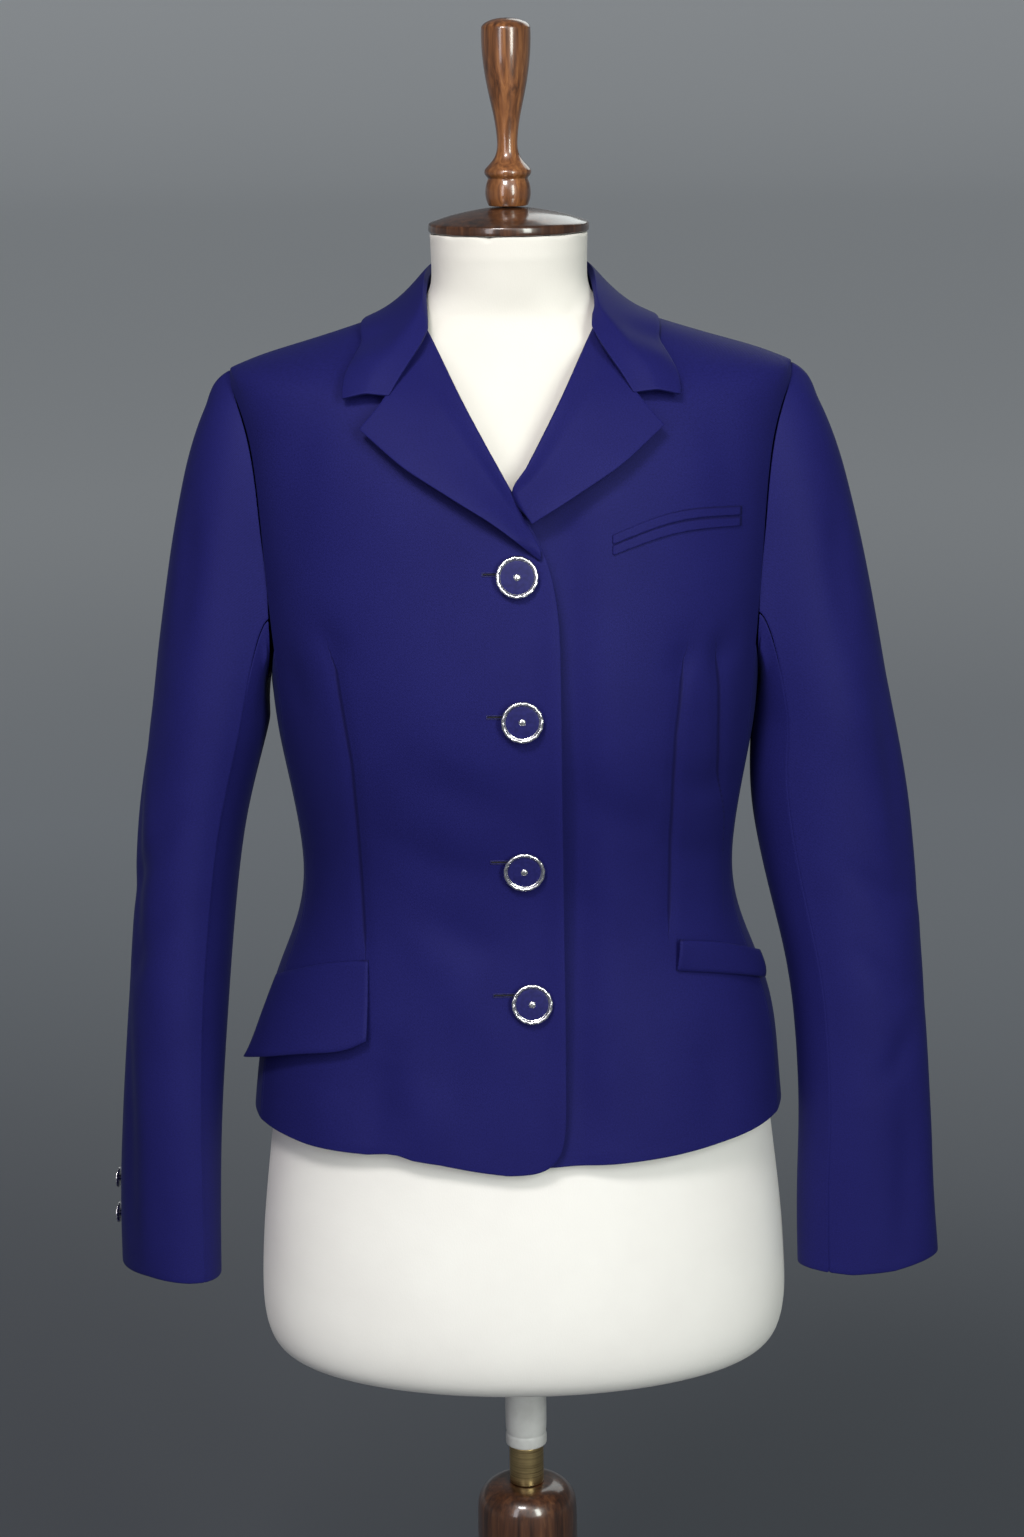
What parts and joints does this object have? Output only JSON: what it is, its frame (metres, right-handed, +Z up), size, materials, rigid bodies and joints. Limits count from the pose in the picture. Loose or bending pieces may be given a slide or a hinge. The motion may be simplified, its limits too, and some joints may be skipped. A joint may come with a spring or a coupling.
{
  "type": "cropped blazer on a dress form with a stand",
  "caption": "Cropped, waisted, single-breasted blazer with notched lapels, worn by a limbless dress form on a turned wooden stand.",
  "frame": {"origin": "centre of the underside of the round base", "axes": "+Z up along the stand, the front of the jacket faces -Y, the wearer's left is at +X"},
  "size_m": [0.5899, 0.38, 1.5888],
  "materials": {
    "blue_cloth": "fine matt twill",
    "form_cover": "smooth ivory cover",
    "dark_wood": "glossy stained",
    "button_metal": "polished rim with a dark blue inset",
    "post_plastic": "smooth white",
    "post_steel": "dull steel"
  },
  "bodies": {
    "root": {"back_left": "blue_cloth", "back_right": "blue_cloth", "base": "dark_wood", "button_1": "button_metal", "button_2": "button_metal", "button_3": "button_metal", "button_4": "button_metal", "chest_jet_lower": "blue_cloth", "chest_jet_upper": "blue_cloth", "collar": "blue_cloth", "column": "dark_wood", "cuff_button_left_1": "button_metal", "cuff_button_left_2": "button_metal", "cuff_button_right_1": "button_metal", "cuff_button_right_2": "button_metal", "finial": "dark_wood", "front_left": "blue_cloth", "front_right": "blue_cloth", "hip_flap_right": "blue_cloth", "hip_welt_left": "blue_cloth", "lapel_left": "blue_cloth", "lapel_right": "blue_cloth", "neck_cap": "dark_wood", "post": "post_steel", "post_sleeve": "post_plastic", "side_left": "blue_cloth", "side_right": "blue_cloth", "sleeve_top_left": "blue_cloth", "sleeve_top_right": "blue_cloth", "sleeve_under_left": "blue_cloth", "sleeve_under_right": "blue_cloth", "torso_form": "form_cover"}
  },
  "joints": []
}
